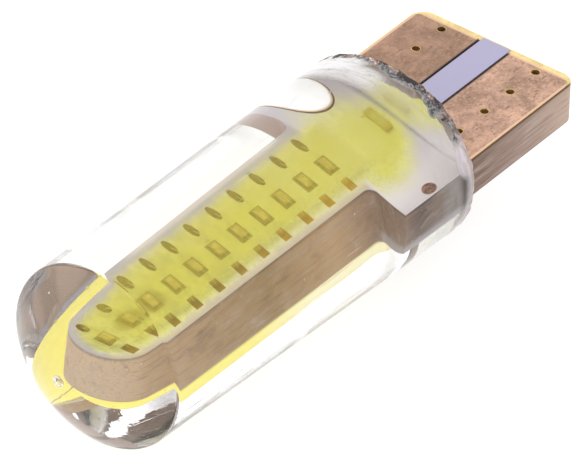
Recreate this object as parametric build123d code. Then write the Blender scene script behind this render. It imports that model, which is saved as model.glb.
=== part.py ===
from build123d import *
from math import cos, radians, sin
import os

os.makedirs("parts", exist_ok=True)

# X runs along the bulb from the rim of the silicone to the dome, Y across the board, Z up from the board's middle.
# All sizes are in millimetres, angles in degrees.

# Board
board_thickness = 2.1
board_width = 9.3
tail_length = 9.2
shoulder_x = 4.75
strip_width = 3.6
strip_tip_x = 22.0
tail_corner = 0.8
neck_fillet = 0.5

# Copper and white mask, one thickness, on both faces
copper = 0.05
mask_start_x = -0.4
stripe_width = 1.6
stripe_gap = 0.12
stripe_end_margin = 0.12

# Contacts on the tail
contact_end_margin = 0.36
contact_side_margin = 0.08
contact_outer_corner = 0.6

# Plated holes in the contacts; small rounds are drawn with a few straight sides
via_count = 4
via_pitch = 2.05
via_end_distance = 0.83
via_edge_distance = 1.87
via_drill_radius = 0.25
plating = 0.05
round_sides = 12
land_sides = 8

# Plated feed holes at the shoulders
feed_x = 2.5
feed_edge_distance = 0.55
feed_drill_radius = 0.28
feed_ring_radius = 0.38

# Columns of lands and dies along the strip
column_count = 10
column_pitch = 1.67
first_column_x = 5.55
row_offset = 1.14
oval_length = 0.68
oval_width = 0.47
square_length = 0.66
square_width = 0.5
die_pad_length = 0.82
die_pad_width = 0.76
die_length = 0.62
die_width = 0.5
die_height = 0.12
wire_width = 0.04
wire_rise = 0.07

# Chip resistor under the phosphor
resistor_x = 1.3
resistor_y = -0.1
resistor_length = 1.0
resistor_width = 0.5
resistor_height = 0.23
terminal_length = 0.22
resistor_land_length = 0.4
resistor_land_width = 0.6

# Phosphor; the lower coat runs almost to the strip's edge
phosphor_height = 0.4
phosphor_bevel = 0.2
phosphor_edge_gap = 0.22
lower_edge_gap = 0.03
patch_start_x = 0.75
patch_left = -2.0
patch_right = 2.8
patch_corner = 1.2

# Silicone envelope: a tapered round body with a shallow dome, cast slightly off the board's centre line,
# with a slanted and slightly hollow base face
rim_radius = 5.14
seam_radius = 4.82
seam_x = 21.6
dome_rise = 1.9
rim_lip = 0.25
rim_recess = 0.4
base_pitch = 3.2
base_turn = 3.2
base_margin = 1.0
cast_shift_y = 0.17
cast_lift = 0.25
cast_yaw = -1.1

face_z = board_thickness / 2
coat_z = face_z + copper
via_offset = board_width / 2 - via_edge_distance
feed_offset = board_width / 2 - feed_edge_distance
column_xs = [first_column_x + i * column_pitch for i in range(column_count)]
via_xs = [-tail_length + via_end_distance + i * via_pitch for i in range(via_count)]


def block(x0, x1, y0, y1, z0, z1):
    """A box given by its two corners."""
    return Pos((x0 + x1) / 2, (y0 + y1) / 2, (z0 + z1) / 2) * Box(x1 - x0, y1 - y0, z1 - z0)


def rect(x0, x1, y0, y1):
    """A flat rectangle given by its two corners."""
    return Pos((x0 + x1) / 2, (y0 + y1) / 2) * Rectangle(x1 - x0, y1 - y0)


def slab(shape, z0, z1):
    """A flat shape raised from z0 to z1."""
    return extrude(Pos(0, 0, z0) * shape, z1 - z0)


def small_round(size_x, size_y, sides):
    """A small round or oval outline."""
    angles = [radians(360 / sides * (i + 0.5)) for i in range(sides)]
    return Polygon(*[(size_x / 2 * cos(a), size_y / 2 * sin(a)) for a in angles], align=None)


def drill(x, y, radius):
    """A small round bar through the whole board."""
    shape = small_round(2 * radius, 2 * radius, round_sides)
    return slab(Pos(x, y) * shape, -2 * board_thickness, 2 * board_thickness)


def round_strip(start_x, tip_x, width):
    """A strip with a full round end at tip_x."""
    centre_x = tip_x - width / 2
    return rect(start_x, centre_x, -width / 2, width / 2) + Pos(centre_x, 0) * Circle(width / 2)


def turned(shape):
    """The same shape on the other face: half a turn about the long axis."""
    return Rot(180, 0, 0) * shape


def save(name, *shapes):
    """Write one node, holding every solid of the given shapes."""
    solids = [solid for shape in shapes for solid in shape.solids()]
    export_step(Compound(label=name, children=solids), f"parts/{name}.step")


def board_outline():
    """Tail, shoulders and round-ended strip in one outline."""
    wide = rect(-tail_length, shoulder_x, -board_width / 2, board_width / 2)
    outline = wide + round_strip(shoulder_x - 1, strip_tip_x, strip_width)
    tail = outline.vertices().filter_by(lambda v: v.X < -tail_length + 0.01)
    outline = fillet(tail, tail_corner)
    at_shoulder = outline.vertices().filter_by(lambda v: abs(v.X - shoulder_x) < 0.01)
    return fillet(at_shoulder.filter_by(lambda v: abs(v.Y) < strip_width), neck_fillet)


def contact_outline():
    """One contact, on the side of positive Y."""
    inner = stripe_width / 2 + stripe_gap
    outer = board_width / 2 - contact_side_margin
    shape = rect(-tail_length + contact_end_margin, mask_start_x - stripe_gap, inner, outer)
    end = shape.vertices().filter_by(lambda v: v.X < -tail_length / 2)
    return fillet(end.filter_by(lambda v: v.Y > via_offset), contact_outer_corner)


def land_row(length, width, y, oval):
    """One row of lands across the columns."""
    shape = small_round(width, length, land_sides) if oval else Rectangle(width, length)
    return [slab(Pos(x, y) * shape, face_z, coat_z) for x in column_xs]


def wire_side(side):
    """Side view of a bond wire from the die's top to a land, as a flat bent ribbon along Y."""
    die_top = coat_z + die_height
    crest = die_top + wire_rise
    foot = row_offset
    knee = (die_length / 2 + foot) / 2
    below = [(0.1, die_top), (0.2, die_top), (knee, crest), (foot - 0.12, coat_z), (foot, coat_z)]
    above = [(y, z + wire_width) for y, z in reversed(below[::2])]
    points = [Vector(0, side * y, z) for y, z in below + above]
    return make_face(Polyline(*points, close=True))


def wires():
    """Two bond wires at every column."""
    out = []
    for side in (-1, 1):
        ribbon = extrude(wire_side(side), wire_width / 2, dir=(1, 0, 0), both=True)
        out += [Pos(x, 0, 0) * ribbon for x in column_xs]
    return out


def phosphor_blank(edge_gap):
    """A phosphor coat as it was poured, before the pieces in it are taken out."""
    strip = round_strip(shoulder_x - 1, strip_tip_x - edge_gap, strip_width - 2 * edge_gap)
    patch = rect(patch_start_x, shoulder_x - edge_gap, patch_left, patch_right)
    patch = chamfer(patch.vertices(), patch_corner)
    blank = slab(strip + patch, coat_z, coat_z + phosphor_height)
    top = blank.faces().sort_by(Axis.Z)[-1]
    return chamfer(top.edges(), phosphor_bevel)


def base_cut():
    """What lies behind the base face: all beyond the rim and the hollow inside it."""
    lip = rim_radius - rim_lip
    recess_radius = (lip**2 + rim_recess**2) / (2 * rim_recess)
    back_x = -2 * base_margin
    wide = 2 * rim_radius
    behind = Polyline((rim_recess, 0), (back_x, 0), (back_x, wide), (0, wide), (0, lip))
    hollow = RadiusArc((0, lip), (rim_recess, 0), recess_radius)
    return Rot(0, base_pitch, base_turn) * revolve(make_face([behind, hollow]), Axis.X)


def envelope_blank():
    """The outside of the silicone, in its cast position."""
    taper = (rim_radius - seam_radius) / seam_x
    back_radius = rim_radius + taper * base_margin
    dome_x = seam_x + dome_rise
    dome_radius = (seam_radius**2 + dome_rise**2) / (2 * dome_rise)
    sides = Polyline((dome_x, 0), (-base_margin, 0), (-base_margin, back_radius), (seam_x, seam_radius))
    dome = RadiusArc((dome_x, 0), (seam_x, seam_radius), -dome_radius)
    body = revolve(make_face([sides, dome]), Axis.X)
    return Pos(0, cast_shift_y, cast_lift) * Rot(0, 0, cast_yaw) * (body - base_cut())


outline = board_outline()

# Plated holes
via_spots = [(x, y) for y in (-via_offset, via_offset) for x in via_xs]
feed_spots = [(feed_x, y) for y in (-feed_offset, feed_offset)]
contact_drills = [drill(x, y, via_drill_radius) for x, y in via_spots]
feed_drills = [drill(x, y, feed_drill_radius) for x, y in feed_spots]
feed_bores = [drill(x, y, feed_drill_radius - plating) for x, y in feed_spots]
barrel = (drill(0, 0, via_drill_radius) & slab(Circle(1), -coat_z, coat_z)) - drill(0, 0, via_drill_radius - plating)
feed_ring = drill(0, 0, feed_ring_radius) & slab(Circle(1), face_z, coat_z)
feed_sleeve = (drill(0, 0, feed_drill_radius) & slab(Circle(1), -coat_z, coat_z)) + feed_ring + turned(feed_ring)
feed_sleeve -= drill(0, 0, feed_drill_radius - plating)
save("contact_vias", *[Pos(x, y, 0) * barrel for x, y in via_spots])
save("feed_hole_platings", *[Pos(x, y, 0) * feed_sleeve for x, y in feed_spots])

# Board core
board_core = slab(outline, -face_z, face_z) - contact_drills - feed_drills
save("board_core", board_core)

# Contacts
contact = slab(contact_outline(), face_z, coat_z) - contact_drills
top_right_contact = contact
top_left_contact = mirror(contact, Plane.XZ)
save("top_right_contact", top_right_contact)
save("top_left_contact", top_left_contact)
save("bottom_right_contact", turned(top_left_contact))
save("bottom_left_contact", turned(top_right_contact))

# Lands, dies and wires on the top face
oval_lands = land_row(oval_length, oval_width, -row_offset, True)
square_lands = land_row(square_length, square_width, row_offset, False)
die_pads = land_row(die_pad_length, die_pad_width, 0, False)
dies = [Pos(x, 0, coat_z + die_height / 2) * Box(die_width, die_length, die_height) for x in column_xs]
bond_wires = wires()

# Chip resistor on the top face
half = resistor_length / 2
terminal_spans = [(-half, -half + terminal_length), (half - terminal_length, half)]
resistor_top = coat_z + resistor_height
resistor_body = block(
    resistor_x - resistor_width / 2,
    resistor_x + resistor_width / 2,
    resistor_y - half + terminal_length,
    resistor_y + half - terminal_length,
    coat_z,
    resistor_top,
)
terminals = [
    block(
        resistor_x - resistor_width / 2,
        resistor_x + resistor_width / 2,
        resistor_y + y0,
        resistor_y + y1,
        coat_z,
        resistor_top,
    )
    for y0, y1 in terminal_spans
]
resistor_land = Rectangle(resistor_land_width, resistor_land_length)
resistor_lands = [
    slab(Pos(resistor_x, resistor_y + (y0 + y1) / 2) * resistor_land, face_z, coat_z) for y0, y1 in terminal_spans
]

# White mask: the wide part and strip, and the stripe between the contacts
covered = outline & rect(mask_start_x, strip_tip_x + 1, -board_width, board_width)
stripe = rect(-tail_length + stripe_end_margin, mask_start_x + 0.1, -stripe_width / 2, stripe_width / 2)
feed_openings = [drill(x, y, feed_ring_radius) for x, y in feed_spots]
openings = oval_lands + square_lands + die_pads + resistor_lands
top_mask = slab(covered + stripe, face_z, coat_z) - feed_openings - openings

# Phosphor over everything on each face
blank = phosphor_blank(phosphor_edge_gap)
lower_blank = phosphor_blank(lower_edge_gap)
embedded = dies + bond_wires + [resistor_body] + terminals
save("top_phosphor", blank - embedded)
save("bottom_phosphor", turned(lower_blank - embedded))

top_pieces = {
    "mask": [top_mask],
    "oval_lands": oval_lands,
    "square_lands": square_lands,
    "die_pads": die_pads,
    "led_dies": dies,
    "bond_wires": bond_wires,
}
for name, shapes in top_pieces.items():
    save(f"top_{name}", *shapes)
    save(f"bottom_{name}", *[turned(shape) for shape in shapes])

save("resistor_bodies", resistor_body, turned(resistor_body))
save("resistor_terminals", *terminals, *[turned(shape) for shape in terminals])
save("resistor_lands", *resistor_lands, *[turned(shape) for shape in resistor_lands])

# Silicone cast round the board
board_blank = slab(outline, -coat_z, coat_z)
board_blank -= feed_bores
envelope = envelope_blank() - board_blank - blank - turned(lower_blank)
save("silicone_envelope", envelope)
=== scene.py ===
import math
from functools import partialmethod

import bmesh
import bpy
from mathutils import Matrix, Vector, noise


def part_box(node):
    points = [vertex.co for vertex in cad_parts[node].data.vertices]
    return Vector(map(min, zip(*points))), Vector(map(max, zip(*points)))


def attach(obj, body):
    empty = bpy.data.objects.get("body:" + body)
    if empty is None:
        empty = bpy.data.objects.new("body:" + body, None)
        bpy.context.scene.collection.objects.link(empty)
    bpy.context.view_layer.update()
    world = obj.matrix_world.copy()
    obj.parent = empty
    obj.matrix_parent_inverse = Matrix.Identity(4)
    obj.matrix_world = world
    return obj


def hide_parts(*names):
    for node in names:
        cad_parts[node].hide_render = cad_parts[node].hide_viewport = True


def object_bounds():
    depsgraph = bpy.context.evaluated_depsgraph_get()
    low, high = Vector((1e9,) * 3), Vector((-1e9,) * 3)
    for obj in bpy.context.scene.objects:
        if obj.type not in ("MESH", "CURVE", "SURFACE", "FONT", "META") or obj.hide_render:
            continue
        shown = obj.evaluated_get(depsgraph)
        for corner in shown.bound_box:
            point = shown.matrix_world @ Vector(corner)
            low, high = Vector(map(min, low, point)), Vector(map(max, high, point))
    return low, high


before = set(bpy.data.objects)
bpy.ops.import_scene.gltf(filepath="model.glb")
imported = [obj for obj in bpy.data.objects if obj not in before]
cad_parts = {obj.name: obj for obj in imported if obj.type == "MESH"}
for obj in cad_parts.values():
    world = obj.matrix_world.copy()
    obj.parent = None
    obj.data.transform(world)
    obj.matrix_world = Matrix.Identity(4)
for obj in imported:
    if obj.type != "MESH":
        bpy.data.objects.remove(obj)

bl_info = {
    "name": "Wedge LED Bulb",
    "version": (1, 0, 0),
    "blender": (4, 5, 0),
    "location": "3D View > Sidebar > LED Bulb",
    "description": "Dresses the packed wedge bulb: clear silicone, chip strip, copper wedge and studio",
    "category": "Object",
}

CAD_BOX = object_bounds()
MM = 0.001

# Places and sizes on the board, in millimetres
BOARD_END = -9.2  # bare end of the board
TONED_LENGTH = 31.2  # length that EDGE_TONES_AND_LIGHT covers, from there
MASK_TOP = 1.1  # outer face of the mask, from the board's middle
TIP_CENTRE = 20.2  # centre of the strip's round end
PATCH_MIDDLE = 2.8  # phosphor patch on the wide part: middle and half length
PATCH_HALF = 3.2
FIRST_COLUMN = 5.55  # place of the first die
DIE_LENGTH, DIE_WIDTH = 0.5, 0.62
VIA_REACH = 0.25 * math.cos(math.pi / 12)  # a plated hole in the CAD, across the flats of its 12 sides
PLUG_SCALE = 1.36  # feed plugs, against the CAD
COAT_GAP = 0.012  # between the mask and a phosphor coat
BLISTER = (2.5, -2.95, 1.5, 0.09)  # air pocket: place along and across the board, radius, height
COLUMNS, HOLES_PER_ROW = 10, 4

# Mesh of the silicone: sides round its axis, rows along its outline, and its material slots
BODY_TURNS = 224
BASE_ROWS, LIP_ROWS, SIDE_ROWS, CREASE_ROWS, DOME_ROWS = 56, 4, 40, 8, 20
RIM_CUT = 0.06  # millimetres by which the lip stops short of the side
RAGGED_REACH = 0.7  # millimetres of the side that are ragged
CLEAR, DULL, TORN = range(3)

# Studio, in metres and watts: floor, room light, and the softboxes with their place, size and power
FLOOR_SIZE = 3.0
FLOOR_GAP = 0.00002
ROOM_STRENGTH = 1.3
WHITE = (1.0, 1.0, 1.0, 1.0)
LIGHT_TARGET = (0.007, 0.0, 0.0)
SOFTBOXES = (
    ("key softbox", (-0.10, -0.55, 0.55), 0.5, 1.4),
    ("top softbox", (0.25, 0.10, 0.80), 0.5, 0.8),
)

# Camera, fitted to the photo: place in metres, axes, and lens in millimetres
CAMERA_PLACE = (0.329599, 0.234292, 0.294117)
CAMERA_RIGHT = (-0.603963, 0.796525, 0.027869)
CAMERA_UP = (-0.460510, -0.377292, 0.803481)
CAMERA_LENS = 651.865

# Finishes with a shine of their own: the silicone wets all others
DRY = ("tarnished copper", "hole plating", "clear silicone", "dull silicone", "torn silicone", "pale floor")
WET_SHINE = 0.04

# Bubbles trapped in the silicone: centre and radius in millimetres
BUBBLES = (
    (22.95, -1.21, -0.71, 0.31),
    (20.9, -2.9, 2.2, 0.05),
    (6.4, 2.6, 2.3, 0.045),
    (7.1, 3.0, 1.6, 0.035),
    (3.6, 1.2, 4.1, 0.05),
    (12.5, -3.1, 1.9, 0.03),
    (16.2, 3.3, -1.4, 0.05),
    (9.0, -2.6, -2.4, 0.06),
    (18.1, 1.9, -3.2, 0.04),
    (4.2, -1.5, -3.6, 0.05),
)

# Darkest stretches of the torn rim: y minus z in millimetres, half length, and how much darker
DARK_CLUMPS = ((-3.35, 0.75, 0.18), (-0.9, 0.7, 0.08), (1.3, 1.2, 0.12))

# Tone of the board's cut edge along its length, partly painted light and shade (warm light thrown by the phosphor,
# darker where the shoulder is in shade): place in millimetres and linear colour
EDGE_TONES_AND_LIGHT = (
    (-9.0, (0.46, 0.34, 0.27)),
    (-5.0, (0.29, 0.205, 0.172)),
    (-0.5, (0.18, 0.12, 0.096)),
    (0.6, (0.19, 0.124, 0.09)),
    (2.3, (0.26, 0.175, 0.13)),
    (3.4, (0.135, 0.084, 0.06)),
    (4.3, (0.21, 0.134, 0.094)),
    (4.8, (0.33, 0.205, 0.125)),
    (8.0, (0.54, 0.345, 0.165)),
    (13.0, (0.365, 0.235, 0.094)),
    (20.0, (0.51, 0.337, 0.19)),
    (22.0, (0.70, 0.52, 0.35)),
)


def length(name, default, description):
    """A property for a size in millimetres."""
    return bpy.props.FloatProperty(name=name, description=description, default=default, min=0.0, precision=3)


def angle(name, degrees, description):
    """A property for an angle."""
    return bpy.props.FloatProperty(name=name, description=description, default=math.radians(degrees), subtype="ANGLE")


def colour(name, default, description):
    """A property for a linear colour."""
    return bpy.props.FloatVectorProperty(
        name=name, description=description, default=default, size=3, subtype="COLOR", min=0.0, max=1.0
    )


class BulbSizes(bpy.types.PropertyGroup):
    """Sizes of the dressed pieces, in millimetres, as in the CAD frame."""

    rim_radius: length("Rim radius", 5.134, "Radius of the silicone at its base")
    seam_radius: length("Seam radius", 4.815, "Radius of the silicone where the dome starts")
    seam_x: length("Seam distance", 21.6, "Distance from the base to the foot of the dome")
    dome_rise: length("Dome rise", 1.899, "Height of the shallow dome")
    crease_round: length("Crease round", 0.3, "Rounding of the crease at the foot of the dome")
    rim_lip: length("Rim lip", 0.25, "Width of the lip round the hollow base")
    rim_recess: length("Base hollow", 0.4, "Depth of the hollow in the base")
    cast_shift: length("Cast shift", 0.17, "How far the casting sits beside the board's centre line")
    cast_lift: length("Cast lift", 0.25, "How far the casting sits above the board's middle")
    cast_yaw: angle("Cast turn", -1.1, "Turn of the casting against the board")
    base_slant: angle("Base slant", 3.2, "Slant of the base face, each way")
    torn_from: length("Torn from", 3.95, "Radius on the base beyond which the silicone is torn")
    torn_above: length("Torn above", 0.69, "How much wider the torn ring is at the top of the base")
    tear_depth: length("Tear depth", 0.12, "How ragged the torn rim is")
    hole_radius: length("Hole radius", 0.2, "Bore of a plated hole in the contacts")
    hole_wall: length("Hole wall", 0.055, "Plating thickness of such a hole")
    hole_pitch: length("Hole pitch", 2.05, "Spacing of the holes along the board")
    column_pitch: length("Column pitch", 1.67, "Spacing of the dies along the strip")
    wire_radius: length("Wire radius", 0.012, "Radius of a bond wire")
    coat_height: length("Phosphor height", 0.4, "Thickness of the upper phosphor coat")
    lower_height: length("Lower phosphor height", 0.86, "Thickness of the lower phosphor coat")


class BulbColours(bpy.types.PropertyGroup):
    """Main colours, linear."""

    mask: colour("White mask", (0.77, 0.69, 0.73), "Lilac white of the board's mask")
    phosphor: colour("Phosphor", (0.82, 0.71, 0.05), "Yellow of the phosphor coat")
    glow: colour("Phosphor ground", (0.77, 0.745, 0.145), "Mask seen through the phosphor")
    copper: colour("Tarnished copper", (0.415, 0.243, 0.165), "Middle tone of the contacts")
    resin: colour("Bare resin", (0.68, 0.545, 0.26), "Bare board round the contacts")


class Graph:
    """A node tree under construction, with short calls for the nodes used here."""

    def __init__(self, tree):
        self.tree = tree

    def put(self, kind, inputs=None, **settings):
        """Adds a node, sets its options, and sets or links its inputs."""
        made = self.tree.nodes.new(kind)
        for key, value in settings.items():
            setattr(made, key, value)
        for key, value in (inputs or {}).items():
            if isinstance(value, bpy.types.NodeSocket):
                self.tree.links.new(value, made.inputs[key])
            else:
                made.inputs[key].default_value = value
        return made

    def math(self, operation, a, b=0.0):
        return self.put("ShaderNodeMath", {0: a, 1: b}, operation=operation).outputs[0]

    plus = partialmethod(math, "ADD")
    minus = partialmethod(math, "SUBTRACT")
    times = partialmethod(math, "MULTIPLY")
    max = partialmethod(math, "MAXIMUM")
    abs = partialmethod(math, "ABSOLUTE")

    def hypot(self, a, b):
        return self.math("SQRT", self.plus(self.math("POWER", a, 2.0), self.math("POWER", b, 2.0)))

    def span(self, value, low, high, top=1.0, bottom=0.0):
        """Smooth step: bottom at the low end of the range, top at its high end."""
        inputs = {"Value": value, "From Min": low, "From Max": high, "To Min": bottom, "To Max": top}
        return self.put("ShaderNodeMapRange", inputs, interpolation_type="SMOOTHSTEP").outputs[0]

    def stretch(self, vector, scale, turn):
        """Coordinates for a texture that is drawn out and turned."""
        return self.put("ShaderNodeMapping", {"Vector": vector, "Scale": scale, "Rotation": turn}).outputs[0]

    def noise(self, vector, scale, detail, rough, warp=0.0):
        inputs = {"Vector": vector, "Scale": scale, "Detail": detail, "Roughness": rough, "Distortion": warp}
        return self.put("ShaderNodeTexNoise", inputs).outputs[0]

    def mix(self, factor, a, b):
        """Blends colours, given as sockets or as three numbers."""
        made = self.tree.nodes.new("ShaderNodeMix")
        made.data_type = "RGBA"
        for index, value in ((0, factor), (6, a), (7, b)):
            if isinstance(value, bpy.types.NodeSocket):
                self.tree.links.new(value, made.inputs[index])
            else:
                made.inputs[index].default_value = value if index == 0 else (*value, 1.0)
        return made.outputs[2]

    def ramp(self, value, low, high, a, b, depth=1.0):
        """Blends one colour into another over a range of a value."""
        return self.mix(self.span(value, low, high, depth), a, b)

    def parts(self, vector):
        return tuple(self.put("ShaderNodeSeparateXYZ", {0: vector}).outputs)

    def spot(self, place):
        """The three parts of a place, in millimetres."""
        scaled_place = self.put("ShaderNodeVectorMath", {0: place, "Scale": 1 / MM}, operation="SCALE")
        return self.parts(scaled_place.outputs[0])


class Finish(Graph):
    """A material under construction, with its Principled shader."""

    def __init__(self, name, **constants):
        self.material = bpy.data.materials.new(name)
        self.material.use_nodes = True
        super().__init__(self.material.node_tree)
        self.tree.nodes.clear()
        self.shader = self.put("ShaderNodeBsdfPrincipled")
        output = self.put("ShaderNodeOutputMaterial")
        self.tree.links.new(self.shader.outputs[0], output.inputs[0])
        for key, value in constants.items():
            self.shader.inputs[key.replace("_", " ")].default_value = value
        if name not in DRY:
            self.shader.inputs["Specular IOR Level"].default_value = WET_SHINE
        self.place = self.put("ShaderNodeTexCoord").outputs["Object"]

    def feed(self, name, socket):
        self.tree.links.new(socket, self.shader.inputs[name])

    def paint(self, socket):
        self.feed("Base Color", socket)

    def bump(self, height, strength, distance):
        inputs = {"Height": height, "Strength": strength, "Distance": distance}
        self.feed("Normal", self.put("ShaderNodeBump", inputs).outputs[0])

    def facing(self, axis):
        """How far the surface faces along an axis, either way: 0 to 1."""
        return self.abs(self.parts(self.put("ShaderNodeNewGeometry").outputs["Normal"])[axis])

    def group(self, tree, **values):
        inputs = {key.replace("_", " "): value for key, value in values.items()}
        return self.put("ShaderNodeGroup", {"Vector": self.place, **inputs}, node_tree=tree).outputs

    def grain(self, scale, detail, rough, warp=0.0, turn=(0.0, 0.0, 0.0)):
        """Noise in the part's own frame; a scale for each axis draws it out, and turn turns that."""
        if isinstance(scale, tuple):
            return self.noise(self.stretch(self.place, scale, turn), 1.0, detail, rough, warp)
        return self.noise(self.place, scale, detail, rough, warp)


def new_tree(name, tree_kind, inputs, outputs, output_kind="Float"):
    """An empty node group; inputs maps names to default values, or to kinds of socket that have none."""
    tree = bpy.data.node_groups.new(name, f"{tree_kind}NodeTree")
    for label, default in inputs.items():
        kind = default if isinstance(default, str) else type(default).__name__.capitalize()
        socket = tree.interface.new_socket(name=label, in_out="INPUT", socket_type=f"NodeSocket{kind}")
        if kind != default:
            socket.default_value = default
    for label in outputs:
        tree.interface.new_socket(name=label, in_out="OUTPUT", socket_type=f"NodeSocket{output_kind}")
    graph = Graph(tree)
    return graph, graph.put("NodeGroupInput").outputs


def scaled(tone, share):
    """A colour made darker or lighter."""
    return tuple(share * c for c in tone)


def soil_group():
    """Blotches, speckle and fine scratches, shared by the board's finishes."""
    name = "Soil and scratches"
    if name in bpy.data.node_groups:
        return bpy.data.node_groups[name]
    inputs = {"Vector": "Vector", "Blotch scale": 900.0, "Speckle scale": 9000.0}
    g, given = new_tree(name, "Shader", inputs, ("Blotch", "Speckle", "Scratch"))
    place = given["Vector"]
    fine = []
    for angle in (0.5, 1.25, 2.3):
        drawn = g.stretch(place, (900.0, 16000.0, 16000.0), (0.0, 0.0, angle))
        fine.append(g.span(g.noise(drawn, 1.0, 2.0, 0.5, 0.3), 0.66, 0.74))
    results = {
        "Blotch": g.noise(place, given["Blotch scale"], 5.0, 0.62, 0.6),
        "Speckle": g.noise(place, given["Speckle scale"], 2.0, 0.7),
        "Scratch": g.max(g.max(fine[0], fine[1]), fine[2]),
    }
    g.put("NodeGroupOutput", results)
    return g.tree


def spread_group():
    """Where the phosphor lies on either face: the strip and the patch on the wide part, with soft edges."""
    name = "Phosphor spread"
    if name in bpy.data.node_groups:
        return bpy.data.node_groups[name]
    g, given = new_tree(name, "Shader", {"Vector": "Vector"}, ("Cover", "Film", "Thin", "Margin"))
    place = given["Vector"]
    ragged = g.minus(g.noise(place, 1300.0, 3.0, 0.6), 0.5)
    x, y, z = g.spot(place)
    y = g.times(y, g.math("SIGN", z))
    past_tip = g.max(g.minus(x, TIP_CENTRE), 0.0)
    off = g.plus(g.hypot(past_tip, y), g.times(ragged, 0.25))
    on_strip = g.span(x, 2.8, 4.2)
    strip = g.times(g.span(off, 2.0, 1.1), on_strip)
    u = g.math("DIVIDE", g.minus(x, PATCH_MIDDLE), PATCH_HALF)
    middle = g.span(x, 0.0, PATCH_HALF, 0.5)
    half = g.span(x, 0.0, PATCH_HALF, 2.6, 1.5)
    v = g.math("DIVIDE", g.minus(y, middle), half)
    far = g.plus(g.hypot(u, v), g.times(ragged, 0.35))
    patch = g.times(g.span(far, 1.3, 0.45), g.span(x, 4.9, 4.5))
    dense = g.times(g.span(off, 1.58, 1.05), on_strip)
    aside = g.plus(off, g.span(y, 0.5, -0.5, 0.16))
    results = {
        "Cover": g.max(strip, patch),
        "Film": g.max(dense, g.span(far, 0.85, 0.35, 0.55)),
        "Thin": g.span(g.noise(place, 420.0, 2.0, 0.5), 0.35, 0.7),
        "Margin": g.times(g.span(aside, 1.3, 1.75), g.span(x, 4.6, 5.0)),
    }
    g.put("NodeGroupOutput", results)
    return g.tree


def fibre_finish(colours):
    """Cut glass fibre: lengthwise streaks on the edges, with tones along the length that are partly painted light and
    shade and a painted lighter left shoulder, bare resin on the faces, painted shadow in the narrow gaps.
    """
    f = Finish("glass fibre", Roughness=0.5)
    soil = f.group(soil_group())
    x, y, z = f.spot(f.place)
    along = f.math("DIVIDE", f.minus(x, BOARD_END), TONED_LENGTH)
    ramp = f.put("ShaderNodeValToRGB", {0: along})
    tones = ramp.color_ramp
    tones.color_mode = "RGB"
    while len(tones.elements) < len(EDGE_TONES_AND_LIGHT):
        tones.elements.new(0.5)
    for stop, (at, tone) in zip(tones.elements, EDGE_TONES_AND_LIGHT):
        stop.position = (at - BOARD_END) / TONED_LENGTH
        stop.color = (*tone, 1.0)
    # Edge tone from the table, partly painted light and shade
    edge = ramp.outputs[0]
    # Streaks along the board, strongest outside the silicone
    outside = f.span(x, -0.6, 0.6, 0.5, 1.0)
    fibres = f.grain((420.0, 5200.0, 9000.0), 4.0, 0.65)
    broad = f.grain((90.0, 900.0, 1700.0), 3.0, 0.6)
    for streaks, low, high, depth, tone in (
        (fibres, 0.5, 0.72, 0.75, (0.46, 0.38, 0.33)),
        (fibres, 0.48, 0.3, 0.6, (0.10, 0.065, 0.05)),
        (broad, 0.5, 0.7, 0.45, (0.42, 0.335, 0.285)),
    ):
        edge = f.mix(f.times(f.span(streaks, low, high), f.times(outside, depth)), edge, tone)
    edge = f.ramp(z, 0.85, 1.05, edge, (0.08, 0.055, 0.035), 0.45)
    # Rubbed patches and dust inside the silicone
    inside = f.span(x, -0.2, 0.4)
    rubbed = f.grain((650.0, 2400.0, 1500.0), 4.0, 0.7, 0.4, turn=(0.0, 0.3, 0.0))
    dust = f.grain(3800.0, 2.0, 0.5)
    for marks, low, high, depth, tone in (
        (rubbed, 0.5, 0.78, 0.6, (0.52, 0.41, 0.30)),
        (rubbed, 0.5, 0.24, 0.4, (0.15, 0.09, 0.05)),
        (dust, 0.71, 0.76, 0.6, (0.75, 0.66, 0.56)),
    ):
        edge = f.mix(f.times(inside, f.span(marks, low, high, depth)), edge, tone)
    # Painted light: the left shoulder's front wall is made lighter
    left = f.times(f.span(y, -1.75, -2.2), f.span(x, 4.3, 4.6))
    edge = f.mix(f.times(left, 0.9), edge, (0.66, 0.50, 0.46))
    foot = f.times(f.span(y, 1.85, 2.2), f.times(inside, f.span(x, 5.2, 4.9)))
    edge = f.mix(f.times(foot, f.span(z, -0.55, -0.9, 0.7)), edge, (0.56, 0.52, 0.54))
    resin = f.ramp(soil["Blotch"], 0.4, 0.7, colours.resin, (0.54, 0.40, 0.18))
    # Painted shadow in the narrow gaps between the contacts and the stripe
    gap_shadow = f.times(f.span(f.abs(y), 0.98, 0.93), f.span(x, -8.9, -8.8))
    resin = f.mix(gap_shadow, resin, (0.03, 0.02, 0.015))
    resin = f.ramp(y, 4.5, 4.58, resin, (0.10, 0.07, 0.03))
    f.paint(f.ramp(f.facing(2), 0.4, 0.7, edge, resin))
    f.bump(fibres, 0.4, 0.015 * MM)
    return f.material


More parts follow.
